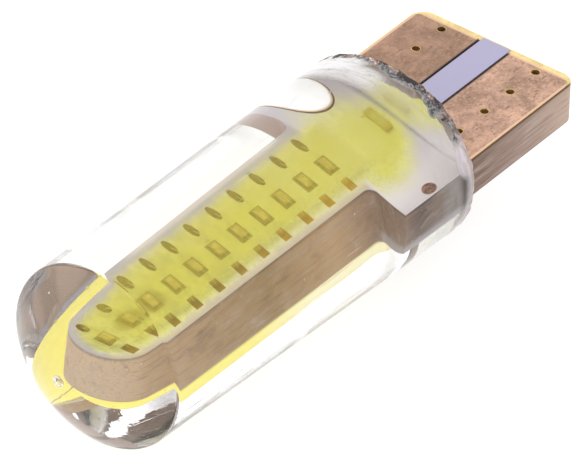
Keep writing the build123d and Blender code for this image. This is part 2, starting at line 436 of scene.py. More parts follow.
def mask_finish(colours):
    """White mask: lilac white, greyer on the left, dingy below, yellow where phosphor lies on it, with a painted
    yellow glow there.
    """
    f = Finish("white mask", Roughness=0.38, Emission_Strength=0.21)
    soil = f.group(soil_group(), Blotch_scale=350.0)
    spread = f.group(spread_group())
    x, y, z = f.spot(f.place)
    base = f.ramp(soil["Blotch"], 0.35, 0.7, colours.mask, scaled(colours.mask, 0.9))
    grit = f.times(f.span(soil["Speckle"], 0.66, 0.74), f.span(f.facing(2), -0.2, 0.2, 0.4))
    base = f.mix(grit, base, (0.32, 0.29, 0.30))
    base = f.ramp(y, -0.5, -3.0, base, (0.56, 0.51, 0.53), 0.75)
    base = f.ramp(y, 0.6, 3.0, base, (0.95, 0.88, 0.86), 0.75)
    base = f.ramp(x, -0.7, -0.1, (0.33, 0.31, 0.425), base)
    dingy = f.ramp(f.grain(600.0, 1.0, 0.4), 0.4, 0.6, (0.66, 0.49, 0.40), (0.48, 0.36, 0.28))
    dingy = f.ramp(y, 3.85, 4.25, dingy, (0.62, 0.58, 0.62))
    base = f.mix(f.times(f.span(z, 0.0, -1.0), f.span(x, -0.2, 0.2)), base, dingy)
    # Yellow under the phosphor: paler at the strip's sides, cloudy towards its tip
    glow = f.mix(spread["Thin"], colours.glow, (0.80, 0.78, 0.26))
    near_tip = f.times(f.span(y, 0.0, 0.6), f.span(x, 13.0, 16.0, 0.8))
    sides = f.minus(f.span(x, 3.5, 6.0), near_tip)
    sides = f.times(f.span(f.abs(y), 0.4, 1.3, 0.7), sides)
    glow = f.mix(sides, glow, (0.77, 0.73, 0.28))
    cloud = f.span(f.grain(1300.0, 3.0, 0.6), 0.38, 0.62, 0.55)
    glow = f.mix(f.times(cloud, f.span(x, 3.5, 19.0)), glow, (0.50, 0.465, 0.15))
    covered = f.mix(spread["Cover"], base, glow)
    # Margins of the strip
    warm = f.times(f.span(y, 0.6, 1.2), f.span(y, 1.95, 1.7))
    border = f.mix(warm, (0.40, 0.355, 0.33), (0.52, 0.39, 0.12))
    covered = f.mix(f.times(spread["Margin"], 0.62), covered, border)
    outer = f.times(f.span(x, 5.5, 7.0), f.span(x, 18.5, 16.5))
    outer = f.times(outer, f.span(y, -1.55, -1.8, 0.85))
    covered = f.mix(outer, covered, (0.80, 0.70, 0.57))
    # Olive spot round the last die but one
    u = f.math("DIVIDE", f.minus(x, 18.9), 0.85)
    v = f.math("DIVIDE", y, 0.55)
    covered = f.ramp(f.hypot(u, v), 1.2, 0.6, covered, (0.34, 0.29, 0.045), 0.85)
    grain = f.span(f.grain(6500.0, 3.0, 0.7), 0.45, 0.75, 0.3)
    covered = f.mix(f.times(grain, spread["Cover"]), covered, (0.36, 0.33, 0.09))
    # Dark curve across the mask, where the base of the silicone meets it
    curve = f.plus(f.times(y, 0.056), f.times(f.math("POWER", y, 2.0), 0.0167))
    line = f.abs(f.minus(f.plus(x, curve), 0.44))
    shade = f.times(f.span(line, 0.27, 0.01, 0.48), f.span(y, -3.2, -0.6, 1.0, 0.3))
    f.paint(f.mix(shade, covered, (0.20, 0.19, 0.19)))
    # Painted glow: the mask under the phosphor gives off yellow light, less towards the base and along the dark curve
    lit = f.times(f.span(x, 4.8, 0.8), f.minus(1.0, shade))
    f.feed("Emission Color", f.mix(f.times(spread["Cover"], lit), (0.0, 0.0, 0.0), (0.80, 0.76, 0.20)))
    return f.material


def copper_finish(colours):
    """Tarnished copper: soft mottling, short dark marks, dull patches, a painted highlight along the etched edge,
    painted shade over the left contact and painted shadow beside the gap at the stripe.
    """
    f = Finish("tarnished copper", Metallic=0.3)
    soil = f.group(soil_group(), Blotch_scale=1400.0, Speckle_scale=6500.0)
    x, y, _ = f.spot(f.place)
    base = f.ramp(soil["Blotch"], 0.3, 0.7, scaled(colours.copper, 1.28), scaled(colours.copper, 0.7))
    broad = f.grain(430.0, 4.0, 0.6, 0.8)
    dashes = f.grain((2600.0, 8500.0, 8500.0), 2.0, 0.5, turn=(0.0, 0.0, 0.5))
    for marks, low, high, depth, tone in (
        (broad, 0.47, 0.7, 0.65, (0.20, 0.112, 0.062)),
        (soil["Speckle"], 0.54, 0.7, 0.45, (0.14, 0.075, 0.05)),
        (soil["Speckle"], 0.46, 0.3, 0.5, (0.55, 0.38, 0.30)),
        (dashes, 0.62, 0.71, 0.75, (0.13, 0.065, 0.042)),
    ):
        base = f.ramp(marks, low, high, base, tone, depth)
    base = f.mix(f.times(soil["Scratch"], 0.3), base, (0.52, 0.36, 0.29))
    # Painted shade: the left contact is made darker than the right
    base = f.ramp(y, 0.5, -0.5, base, (0.15, 0.075, 0.033), 0.5)
    wide = f.abs(y)
    # Painted highlight: a peach line along the contacts' etched edges
    line = f.max(f.span(wide, 4.42, 4.48), f.span(x, -8.7, -8.76))
    base = f.mix(f.times(line, 0.8), base, (0.66, 0.43, 0.27))
    # Painted shadow: dark copper edge beside the gap at the stripe
    base = f.ramp(wide, 1.0, 0.95, base, (0.05, 0.03, 0.025), 0.85)
    f.paint(base)
    f.feed("Roughness", f.span(soil["Blotch"], 0.3, 0.75, 0.6, 0.42))
    f.bump(f.plus(soil["Scratch"], soil["Blotch"]), 0.2, 0.012 * MM)
    return f.material


def plating_finish(name, bright, dull, metallic, roughness, tip=None):
    """Thin plating with dull patches; tip is its colour towards the end of the strip."""
    f = Finish(name, Metallic=metallic, Roughness=roughness)
    soil = f.group(soil_group(), Blotch_scale=2600.0)
    base = f.ramp(soil["Blotch"], 0.35, 0.7, bright, dull)
    if tip:
        base = f.ramp(f.spot(f.place)[0], 7.0, 17.0, base, tip)
    f.paint(base)
    return f.material


def feed_finish():
    """Feed holes: peach ring round a blotchy red-brown plug."""
    f = Finish("feed plating", Roughness=0.45)
    x, y, z = f.spot(f.place)
    low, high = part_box("feed_hole_platings")
    u = f.minus(x, (low.x + high.x) / 2 / MM)
    v = f.minus(f.abs(y), (high.y - (high.x - low.x) / 2) / MM)
    off = f.hypot(u, v)
    blotch = f.grain(5200.0, 3.0, 0.6)
    plug = f.ramp(blotch, 0.4, 0.62, (0.17, 0.075, 0.04), (0.42, 0.21, 0.13))
    disc = f.ramp(off, 0.41, 0.47, plug, (0.70, 0.42, 0.30))
    f.paint(f.ramp(z, 0.2, -0.2, disc, (0.60, 0.47, 0.37)))
    return f.material


def die_finish(pitch):
    """LED die: dark rim and a lighter middle with fine electrode marks."""
    f = Finish("led die", Roughness=0.3)
    x, y, _ = f.spot(f.place)
    step = f.minus(x, FIRST_COLUMN - pitch / 2)
    along = f.minus(f.math("MODULO", step, pitch), pitch / 2)
    inner = f.max(f.times(f.abs(along), DIE_WIDTH / DIE_LENGTH), f.abs(y))
    marks = f.grain(5200.0, 2.0, 0.6)
    middle = f.ramp(marks, 0.4, 0.62, (0.39, 0.285, 0.045), (0.54, 0.42, 0.08))
    f.paint(f.ramp(inner, 0.2, 0.31, middle, (0.27, 0.175, 0.018)))
    return f.material


def phosphor_finish(colours):
    """Phosphor gel: a thin yellow coat that lets the lands show through and thins out at its edge."""
    f = Finish("phosphor gel", Roughness=0.55)
    spread = f.group(spread_group())
    grains = f.grain(7000.0, 3.0, 0.65)
    f.paint(f.ramp(grains, 0.35, 0.7, colours.phosphor, scaled(colours.phosphor, 0.86)))
    inside = f.put("ShaderNodeNewGeometry").outputs["Backfacing"]
    film = f.times(f.minus(1.0, inside), 0.34)
    f.feed("Alpha", f.times(film, spread["Film"]))
    return f.material


def thick_finish():
    """Thick phosphor gel that hides what it covers, fades only on the wide part of the board and glows a little:
    painted light.
    """
    # Painted glow: the gel is given a yellow emission
    f = Finish("thick phosphor gel", Roughness=0.5, Emission_Color=(1.0, 0.88, 0.24, 1.0), Emission_Strength=0.2)
    spread = f.group(spread_group())
    x, y, _ = f.spot(f.place)
    tone = (1.0, 0.90, 0.24)
    grains = f.grain(2400.0, 3.0, 0.6)
    gel = f.ramp(grains, 0.35, 0.7, tone, scaled(tone, 0.96))
    faded = f.times(f.span(x, 15.5, 9.0, 0.85), f.span(y, 1.0, 1.55))
    f.paint(f.mix(faded, gel, (1.0, 0.97, 0.82)))
    f.feed("Alpha", f.times(f.max(spread["Film"], f.span(x, 3.6, 4.6)), 0.94))
    return f.material


def silicone_finish():
    """Clear silicone with faint flow lines, smears and hairlines."""
    f = Finish("clear silicone", Transmission_Weight=1.0, IOR=1.41, Base_Color=(0.965, 0.97, 0.97, 1.0))
    flow = f.grain((55.0, 420.0, 420.0), 3.0, 0.5, 0.4)
    smear = f.grain((500.0, 180.0, 180.0), 4.0, 0.6, 1.0)
    hair = f.span(f.grain((140.0, 5200.0, 5200.0), 2.0, 0.5, turn=(0.0, 0.1, 0.25)), 0.64, 0.74)
    f.feed("Roughness", f.plus(f.span(smear, 0.5, 0.8, 0.05), f.times(hair, 0.05)))
    f.bump(f.plus(flow, f.times(hair, 0.15)), 0.35, 0.05 * MM)
    return f.material


def hollow_finish():
    """Hollow in the base: a little dull above the board, duller below it."""
    f = Finish("dull silicone", Transmission_Weight=1.0, IOR=1.41, Base_Color=(0.96, 0.93, 0.90, 1.0))
    grain = f.grain(1500.0, 4.0, 0.65)
    lower = f.span(f.spot(f.place)[2], -0.2, -1.4)
    worn = f.span(grain, 0.3, 0.7, 0.27, 0.16)
    f.feed("Roughness", f.plus(worn, f.times(lower, 0.3)))
    f.bump(grain, f.plus(f.times(lower, 0.25), 0.1), 0.05 * MM)
    return f.material


def torn_finish():
    """Torn silicone round the base: dark crumbs with pale glints."""
    f = Finish("torn silicone", Roughness=0.7)
    crumbs = f.grain(6500.0, 4.0, 0.75)
    clumps = f.grain(1100.0, 3.0, 0.6)
    mixed = f.plus(crumbs, f.minus(clumps, 0.5))
    _, y, z = f.spot(f.place)
    turn = f.minus(y, z)
    for middle, half, depth in DARK_CLUMPS:
        far = f.abs(f.minus(turn, middle))
        mixed = f.minus(mixed, f.span(far, half, 0.3 * half, depth))
    tone = f.ramp(mixed, 0.40, 0.60, (0.02, 0.013, 0.013), (0.30, 0.205, 0.175))
    tone = f.ramp(mixed, 0.64, 0.72, tone, (0.92, 0.89, 0.90))
    ring = f.facing(0)
    inner = f.times(f.span(ring, 0.5, 0.8, 0.55), f.span(f.hypot(y, z), 4.9, 4.4))
    tone = f.mix(inner, tone, (0.53, 0.39, 0.385))
    tone = f.ramp(z, 1.5, -1.5, tone, (0.44, 0.335, 0.305), 0.65)
    pale = f.times(f.span(z, 3.7, 1.9), f.span(y, 0.8, 2.4))
    f.paint(f.mix(f.times(pale, 0.8), tone, (0.68, 0.585, 0.57)))
    f.bump(crumbs, 0.5, 0.05 * MM)
    return f.material


def scuff_finish():
    """Scuffs under the skin near the base: dark and white crumbs at the torn rim, pale streaks beyond it."""
    f = Finish("scuffed silicone", Roughness=0.6)
    rim = f.put("ShaderNodeAttribute", attribute_name="rim").outputs["Fac"]
    _, y, z = f.spot(f.place)
    crumbs = f.grain(7500.0, 3.0, 0.8)
    clumps = f.grain(700.0, 3.0, 0.6)
    reach = f.plus(f.span(clumps, 0.32, 0.68, 0.75), f.span(z, -2.0, 4.0, 0.4, -0.2))
    turn = f.minus(y, z)
    reach = f.minus(reach, f.span(turn, -5.3, -6.5, 0.45))
    torn = f.span(f.minus(rim, reach), 0.1, -0.3)
    torn = f.times(torn, f.span(crumbs, 0.3, 0.5, 0.97, 0.45))
    streaks = f.grain((2600.0, 500.0, 500.0), 4.0, 0.65, 0.5, turn=(0.0, 0.0, 0.35))
    far_left = f.span(turn, -5.3, -6.3)
    near = f.times(f.span(rim, 2.9, 1.5), f.max(f.span(rim, 0.7, 1.3), far_left))
    left = f.span(turn, -5.3, -3.9, 0.15, 1.0)
    veil = f.times(f.times(f.span(streaks, 0.22, 0.54), near), left)
    tone = f.ramp(crumbs, 0.36, 0.50, (0.80, 0.79, 0.80), (0.06, 0.05, 0.055))
    right = f.times(f.span(turn, 1.4, 2.4), f.span(z, -3.6, -2.2))
    wider = f.span(z, 0.7, 1.5, 0.5)
    right = f.times(right, f.span(f.minus(rim, wider), 0.75, 0.1))
    frost = f.ramp(rim, 0.1, 0.45, (0.66, 0.54, 0.50), (0.96, 0.87, 0.92))
    shown = f.mix(torn, (0.97, 0.95, 0.95), tone)
    f.paint(f.mix(right, shown, frost))
    haze = f.times(right, f.span(streaks, 0.3, 0.64, 0.9, 0.5))
    f.feed("Alpha", f.max(haze, f.max(torn, veil)))
    return f.material


def blister_finish():
    """Trapped air: a painted silvery white reflection that glows a little, with painted shade round its edge, orange
    to dark brown.
    """
    f = Finish("trapped air", Roughness=0.2, Emission_Strength=0.3)
    edge = f.put("ShaderNodeAttribute", attribute_name="edge").outputs["Fac"]
    smear = f.grain((300.0, 2600.0, 900.0), 2.0, 0.5, turn=(0.0, 0.0, 0.6))
    # Painted reflection: the white stands for the bright room mirrored in the trapped air
    white = f.ramp(smear, 0.6, 0.75, (0.97, 0.97, 0.97), (0.8, 0.8, 0.81))
    # Painted shade round the edge, from orange to dark brown
    rim = f.ramp(edge, 0.55, 0.85, (0.95, 0.72, 0.45), (0.16, 0.07, 0.03))
    f.paint(f.ramp(edge, 0.25, 0.6, white, rim))
    # Painted glow in the white middle
    f.feed("Emission Color", f.ramp(edge, 0.2, 0.5, (1.0, 1.0, 1.0), (0.0, 0.0, 0.0)))
    return f.material


def chip_finish(name, top, side):
    """A chip resistor's coat under the gel: pale on top, with painted shade darkening its sides."""
    f = Finish(name, Roughness=0.6)
    grain = f.span(f.grain(3000.0, 3.0, 0.6), 0.35, 0.7, 0.3)
    shade = f.ramp(f.facing(2), 0.4, 0.7, side, top)
    f.paint(f.mix(grain, shade, scaled(top, 0.9)))
    return f.material


def plain_finish(name, tone, other, scale, **constants):
    """Plain coat with fine variation."""
    f = Finish(name, **constants)
    f.paint(f.ramp(f.grain(scale, 3.0, 0.6), 0.35, 0.7, tone, other))
    return f.material


def dress(names, material):
    """Gives CAD nodes a finish."""
    for name in names:
        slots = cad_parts[name].data.materials
        slots.clear()
        slots.append(material)


def new_object(name, data):
    """A new object in the scene."""
    made = bpy.data.objects.new(name, data)
    bpy.context.scene.collection.objects.link(made)
    return made


def link_mesh(name, mesh, materials, stands_for=()):
    """Links a finished mesh as a piece that rides on the bulb; a grown mesh has its material already."""
    piece = new_object(name, mesh)
    if not mesh.materials:
        for material in materials:
            mesh.materials.append(material)
    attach(piece, "root")
    if stands_for:
        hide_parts(*stands_for)


def finished(bm, name):
    """Turns a bmesh into a mesh."""
    mesh = bpy.data.meshes.new(name)
    bm.to_mesh(mesh)
    bm.free()
    return mesh


def both_faces(part):
    """The node names of a part on the top and bottom face."""
    return [f"{face}_{part}" for face in ("top", "bottom")]


def body_profile(s):
    """Half outline of the silicone from the middle of its base to the dome's top: (x, radius, zone)."""
    lip = s.rim_radius - s.rim_lip
    hollow = (lip**2 + s.rim_recess**2) / (2 * s.rim_recess)
    rows = []
    for i in range(BASE_ROWS + 1):
        r = lip * i / BASE_ROWS
        rows.append((math.sqrt(hollow**2 - r**2) - (hollow - s.rim_recess), r, "base"))
    for i in range(1, LIP_ROWS + 1):
        rows.append((0.0, lip + (s.rim_radius - RIM_CUT - lip) * i / LIP_ROWS, "lip"))
    slope = (s.seam_radius - s.rim_radius) / s.seam_x
    lean = math.hypot(1.0, slope)
    dome = (s.seam_radius**2 + s.dome_rise**2) / (2 * s.dome_rise)
    centre = s.seam_x + s.dome_rise - dome
    # Halve a range until the crease's rounding touches both the side and the dome
    low, high = s.seam_x - 3.0, s.seam_x
    for _ in range(60):
        x = (low + high) / 2
        r = s.rim_radius + slope * x - s.crease_round * lean
        if math.hypot(x - centre, r) < dome - s.crease_round:
            low = x
        else:
            high = x
    start = math.atan2(1.0, -slope)
    stop = math.atan2(r, x - centre)
    first_x = x + s.crease_round * math.cos(start)
    steps = [0.05, 0.12, 0.2, 0.28, 0.36, 0.44, 0.53, 0.63, 0.76, 1.0, 1.4]
    even = steps[-1]
    steps += [even + (first_x - even) * i / SIDE_ROWS for i in range(1, SIDE_ROWS)]
    rows += [(v, s.rim_radius + slope * v, "side") for v in steps]
    for i in range(CREASE_ROWS + 1):
        a = start + (stop - start) * i / CREASE_ROWS
        rows.append((x + s.crease_round * math.cos(a), r + s.crease_round * math.sin(a), "side"))
    for i in range(1, DOME_ROWS + 1):
        a = stop * (1 - i / DOME_ROWS)
        rows.append((centre + dome * math.cos(a), dome * math.sin(a), "side"))
    return rows


def cast_spot(s, row, a):
    """A point of the casting in the part's frame, from a row of its outline and an angle round its axis."""
    x, r, zone = row[:3]
    cast = Matrix.Translation((0.0, s.cast_shift, s.cast_lift)) @ Matrix.Rotation(s.cast_yaw, 4, "Z")
    across, up = r * math.cos(a), r * math.sin(a)
    lean = math.tan(s.base_slant) * (up - across)
    fade = 1.0 if zone != "side" else max(0.0, 1.0 - x / s.seam_x)
    ragged = 1.0 if zone == "lip" else max(0.0, 1.0 - x / RAGGED_REACH) if zone == "side" else 0.0
    seed = Vector((3.0 * math.cos(a), 3.0 * math.sin(a), 0.9 * x + 1.7 * r))
    pull = ragged * s.tear_depth * (0.5 + 0.5 * noise.fractal(seed * 2.4, 0.8, 2.0, 4))
    push = ragged * s.tear_depth * 1.3 * noise.fractal(seed * 1.1 + Vector((7.0, 0.0, 0.0)), 0.8, 2.0, 4)
    shrink = 1.0 - max(0.0, pull) / max(r, 0.1)
    return (cast @ Vector((x + lean * fade + push, across * shrink, up * shrink))) * MM


def lathe(bm, rows, turns, spot, slot=lambda i, k: CLEAR):
    """Turns rows into rings of faces; a row with no radius closes to one point. Returns the rings."""
    rings = []
    for row in rows:
        count = 1 if row[1] == 0.0 else turns
        rings.append([bm.verts.new(spot(row, 2 * math.pi * k / turns)) for k in range(count)])
    for i, (a, b) in enumerate(zip(rings, rings[1:])):
        for k in range(turns):
            n = (k + 1) % turns
            corners = list(dict.fromkeys([a[k % len(a)], b[k % len(b)], b[n % len(b)], a[n % len(a)]]))
            face = bm.faces.new(corners)
            face.smooth = True
            face.material_index = slot(i, k)
    return rings


def silicone_mesh(s):
    """The silicone body turned from its half outline, with the slanted torn base and trapped bubbles."""
    rows = body_profile(s)

    def slot(i, k):
        row, a = rows[i + 1], 2 * math.pi * (k + 0.5) / BODY_TURNS
        if row[2] == "side":
            flap = noise.fractal(Vector((9.0 * math.cos(a), 9.0 * math.sin(a), 2.0)), 0.7, 2.0, 4)
            above = min(1.0, max(0.0, 2.2 * math.sin(a) - 0.2))
            return TORN if row[0] < above * (0.4 + 0.5 * flap) else CLEAR
        ragged = noise.fractal(Vector((2.2 * math.cos(a), 2.2 * math.sin(a), 0.0)), 0.9, 2.0, 3)
        topmost = min(1.0, max(0.0, 10.0 * (math.sin(a - 0.03) - 0.86)))
        return TORN if row[1] > s.torn_from + 0.42 * ragged - s.torn_above * topmost else DULL

    bm = bmesh.new()
    lathe(bm, rows, BODY_TURNS, lambda row, a: cast_spot(s, row, a), slot)
    bmesh.ops.recalc_face_normals(bm, faces=bm.faces)
    for x, y, z, radius in BUBBLES:
        place = Matrix.Translation(Vector((x, y, z)) * MM)
        fineness = 4 if radius > 0.2 else 2
        made = bmesh.ops.create_icosphere(bm, subdivisions=fineness, radius=radius * MM, matrix=place)
        faces = {face for vert in made["verts"] for face in vert.link_faces}
        bmesh.ops.reverse_faces(bm, faces=list(faces))
        for face in faces:
            face.smooth = True
    return finished(bm, "silicone_body")


def scuff_mesh(s):
    """A thin closed layer just under the skin, next to the rim; its rim attribute is the distance from the rim."""
    slope = (s.seam_radius - s.rim_radius) / s.seam_x
    steps = [2.7, 2.3, 1.9, 1.6, 1.3, 1.0, 0.8, 0.62, 0.46, 0.32, 0.2, 0.1, 0.04]
    path = [(x, s.rim_radius + slope * x, "side", x) for x in steps]
    for r in [s.rim_radius - 0.08 - 0.085 * i for i in range(3)]:
        path.append((0.0, r, "lip", r - s.rim_radius))
    loop = []
    for inset, part in ((0.03, path), (0.055, path[::-1])):
        for x, r, zone, rim in part:
            side = 1.0 if zone == "side" else 0.35
            loop.append((x if zone == "side" else x + inset, r - inset * side, zone, rim))
    loop.append(loop[0])
    bm = bmesh.new()
    mark = bm.verts.layers.float.new("rim")
    rings = lathe(bm, loop, BODY_TURNS, lambda row, a: cast_spot(s, row, a))
    for ring, row in zip(rings, loop):
        for vert in ring:
            vert[mark] = row[3]
    bmesh.ops.remove_doubles(bm, verts=rings[0] + rings[-1], dist=1e-7)
    bmesh.ops.recalc_face_normals(bm, faces=bm.faces)
    return finished(bm, "rim_scuffs")


def coat_outline(half, tip_x):
    """Outline of a phosphor coat, anticlockwise: half its width on the strip, and where its tip ends."""
    corners = [(4.9, -half), (4.4, -half - 0.2), (3.6, -2.1), (1.9, -2.0), (0.75, -0.8), (0.75, 1.6), (1.9, 2.7)]
    corners += [(3.4, 2.75), (4.4, 2.2), (4.9, half)]
    # Cut the corners off three times over
    for _ in range(3):
        fine = [corners[0]]
        for p, q in zip(corners, corners[1:]):
            fine.append((0.75 * p[0] + 0.25 * q[0], 0.75 * p[1] + 0.25 * q[1]))
            fine.append((0.25 * p[0] + 0.75 * q[0], 0.25 * p[1] + 0.75 * q[1]))
        corners = fine + [corners[-1]]
    angles = [math.pi * (i / 24 - 0.5) for i in range(25)]
    tip = [(tip_x - half + half * math.cos(a), half * math.sin(a)) for a in angles]
    return tip + corners[::-1]


def coat_mesh(name, turn, half, tip_x, height, edge):
    """A gel coat with a rounded edge, standing just clear of the mask."""
    outline = [Vector((x, y)) for x, y in coat_outline(half, tip_x)]
    count = len(outline)
    inward = []
    for i in range(count):
        along = (outline[(i + 1) % count] - outline[i - 1]).normalized()
        inward.append(Vector((-along.y, along.x)))
    low, steps = MASK_TOP + COAT_GAP, 8
    bm = bmesh.new()
    rings = []
    for step in range(steps + 1):
        a = math.pi / 2 * step / steps
        inset, rise = edge * (1 - math.cos(a)), (height - COAT_GAP) * math.sin(a)
        ring = []
        for p, n in zip(outline, inward):
            q = p + n * inset
            ring.append(bm.verts.new(turn @ Vector((q.x, q.y, low + rise)) * MM))
        rings.append(ring)
    for a, b in zip(rings, rings[1:]):
        for i in range(count):
            n = (i + 1) % count
            bm.faces.new((a[i], a[n], b[n], b[i])).smooth = True
    bm.faces.new(rings[-1])
    bm.faces.new(rings[0][::-1])
    bmesh.ops.recalc_face_normals(bm, faces=bm.faces)
    bmesh.ops.triangulate(bm, faces=[f for f in bm.faces if len(f.verts) > 4])
    return finished(bm, name)


def feed_mesh():
    """The two feed holes: a plated ring on either face, closed by a plug."""
    low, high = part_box("feed_hole_platings")
    bm = bmesh.new()
    radius, top = (high.x - low.x) / 2 * PLUG_SCALE, high.z + 0.003 * MM
    middle = (high.x + low.x) / 2
    rows = [(top - 0.002 * MM, 0.0), (top - 0.002 * MM, 0.8 * radius), (top, 0.86 * radius), (top, 0.94 * radius)]
    rows += [(0.985 * top, radius)]
    rows += [(-h, r) for h, r in rows[::-1]]
    for y in (low.y + radius / PLUG_SCALE, high.y - radius / PLUG_SCALE):
        lathe(bm, rows, 28, lambda row, a: (middle + row[1] * math.cos(a), y + row[1] * math.sin(a), row[0]))
    bmesh.ops.recalc_face_normals(bm, faces=bm.faces)
    return finished(bm, "feed_plugs")


def blister_mesh():
    """A flat pocket of air lying on the mask; its edge attribute runs from 0 inside to 1 outside."""
    x, y, radius, height = BLISTER
    turns, steps = 72, 10
    rows = []
    for i in range(steps + 1):
        a = math.pi / 2 * (i / steps)
        rows.append((MASK_TOP + 0.002 + height * math.cos(a), math.sin(a) ** 0.6))

    def spot(row, a):
        r = radius * (1.0 + 0.02 * math.sin(3 * a + 0.6)) * row[1]
        return Vector((x + r * math.cos(a), y + r * math.sin(a), row[0])) * MM

    bm = bmesh.new()
    mark = bm.verts.layers.float.new("edge")
    rings = lathe(bm, rows, turns, spot)
    for ring, row in zip(rings, rows):
        for vert in ring:
            vert[mark] = max(0.0, (row[1] - 0.86) / 0.14)
    bm.faces.new(rings[-1][::-1])
    bmesh.ops.recalc_face_normals(bm, faces=bm.faces)
    return finished(bm, "air_blister")


def close_tree(graph, given, points, piece):
    """Ends a tree: the piece on every point, made real, smooth and dressed."""
    placed = graph.put("GeometryNodeInstanceOnPoints", {"Points": points, "Instance": piece}).outputs[0]
    real = graph.put("GeometryNodeRealizeInstances", {"Geometry": placed}).outputs[0]
    smooth = graph.put("GeometryNodeSetShadeSmooth", {0: real}).outputs[0]
    dressed = graph.put("GeometryNodeSetMaterial", {"Geometry": smooth, "Material": given["Finish"]}).outputs[0]
    graph.put("NodeGroupOutput", {"Geometry": dressed})
    return graph.tree


def point_row(graph, given, across):
    """A row of points along the board."""
    start = graph.put("ShaderNodeCombineXYZ", {0: given["First"], 1: across}).outputs[0]
    step = graph.put("ShaderNodeCombineXYZ", {0: given["Pitch"]}).outputs[0]
    line = {"Count": given["Count"], "Start Location": start, "Offset": step}
    return graph.put("GeometryNodeMeshLine", line).outputs[0]


def holes_tree():
    """Geometry Nodes: a plated barrel with a rounded lip, repeated in two rows of holes."""
    inputs = {"Bore": 0.0002, "Wall": 0.00005, "Half height": 0.0011, "Row offset": 0.0028}
    inputs |= {"Pitch": 0.002, "Count": 4, "First": -0.008, "Finish": "Material"}
    g, given = new_tree("Plated holes", "Geometry", inputs, ["Geometry"], "Geometry")
    middle = g.plus(given["Bore"], g.times(given["Wall"], 0.5))
    ring = g.put("GeometryNodeCurvePrimitiveCircle", {"Resolution": 40, "Radius": middle}).outputs["Curve"]
    height = g.times(given["Half height"], 2.0)
    wall = g.put("GeometryNodeCurvePrimitiveQuadrilateral", {"Width": given["Wall"], "Height": height}).outputs[0]
    rounding = {"Curve": wall, "Radius": g.times(given["Wall"], 0.45), "Limit Radius": True, "Count": 3}
    soft = g.put("GeometryNodeFilletCurve", rounding, mode="POLY").outputs[0]
    barrel = g.put("GeometryNodeCurveToMesh", {"Curve": ring, "Profile Curve": soft}).outputs[0]
    points = g.put("GeometryNodeJoinGeometry")
    for sign in (-1.0, 1.0):
        g.tree.links.new(point_row(g, given, g.times(given["Row offset"], sign)), points.inputs[0])
    return close_tree(g, given, points.outputs[0], barrel)


def wires_tree():
    """Geometry Nodes: a pair of thin looped wires, repeated at every column of the strip."""
    inputs = {"Radius": 0.00001, "Die height": 0.0012, "Land height": 0.0011, "Loop": 0.0001, "Reach": 0.0011}
    inputs |= {"Pitch": 0.0017, "Count": 10, "First": 0.0055, "Finish": "Material"}
    g, given = new_tree("Bond wires", "Geometry", inputs, ["Geometry"], "Geometry")
    round_wire = {"Resolution": 8, "Radius": given["Radius"]}
    profile = g.put("GeometryNodeCurvePrimitiveCircle", round_wire).outputs["Curve"]
    crest = g.plus(given["Die height"], given["Loop"])
    pair = g.put("GeometryNodeJoinGeometry")
    for sign in (-1.0, 1.0):
        bend = {"Resolution": 16}
        for label, share, height in (
            ("Start", 0.12, given["Die height"]),
            ("Start Handle", 0.35, crest),
            ("End Handle", 0.7, crest),
            ("End", 0.96, given["Land height"]),
        ):
            across = g.times(given["Reach"], sign * share)
            bend[label] = g.put("ShaderNodeCombineXYZ", {1: across, 2: height}).outputs[0]
        curve = g.put("GeometryNodeCurvePrimitiveBezierSegment", bend).outputs[0]
        wire = {"Curve": curve, "Profile Curve": profile, "Fill Caps": True}
        g.tree.links.new(g.put("GeometryNodeCurveToMesh", wire).outputs[0], pair.inputs[0])
    return close_tree(g, given, point_row(g, given, 0.0), pair.outputs[0])


def grown_mesh(tree, values):
    """Evaluates a Geometry Nodes tree on an empty mesh and returns the plain mesh."""
    host = new_object("grower", bpy.data.meshes.new("grower"))
    modifier = host.modifiers.new("Grow", "NODES")
    modifier.node_group = tree
    for item in tree.interface.items_tree:
        if item.in_out == "INPUT" and item.name in values:
            modifier[item.identifier] = values[item.name]
    graph = bpy.context.evaluated_depsgraph_get()
    mesh = bpy.data.meshes.new_from_object(host.evaluated_get(graph))
    host.modifiers.clear()
    bpy.data.objects.remove(host)
    if not mesh.polygons:
        raise RuntimeError(f"the tree {tree.name} gave an empty mesh")
    return mesh


class BULB_OT_board(bpy.types.Operator):
    """Glass fibre core and white mask"""

    bl_idname = "bulb.board"
    bl_label = "Board"

    def execute(self, context):
        colours = context.scene.bulb_colours
        dress(["board_core"], fibre_finish(colours))
        dress(both_faces("mask"), mask_finish(colours))
        return {"FINISHED"}


class BULB_OT_contacts(bpy.types.Operator):
    """Copper contacts, their plated holes and the feed holes"""

    bl_idname = "bulb.contacts"
    bl_label = "Contacts and holes"

    def execute(self, context):
        s = context.scene.bulb_sizes
        names = [f"{face}_{side}_contact" for face in ("top", "bottom") for side in ("left", "right")]
        dress(names, copper_finish(context.scene.bulb_colours))
        gold = plating_finish("hole plating", (0.55, 0.37, 0.14), (0.25, 0.15, 0.055), 0.8, 0.35)
        low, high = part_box("contact_vias")
        values = {
            "Bore": s.hole_radius * MM,
            "Wall": s.hole_wall * MM,
            "Half height": high.z + 0.004 * MM,
            "Pitch": s.hole_pitch * MM,
            "Count": HOLES_PER_ROW,
            "First": low.x + VIA_REACH * MM,
            "Row offset": high.y - VIA_REACH * MM,
            "Finish": gold,
        }
        link_mesh("plated_holes", grown_mesh(holes_tree(), values), [gold], ["contact_vias"])
        link_mesh("feed_plugs", feed_mesh(), [feed_finish()], ["feed_hole_platings"])
        return {"FINISHED"}


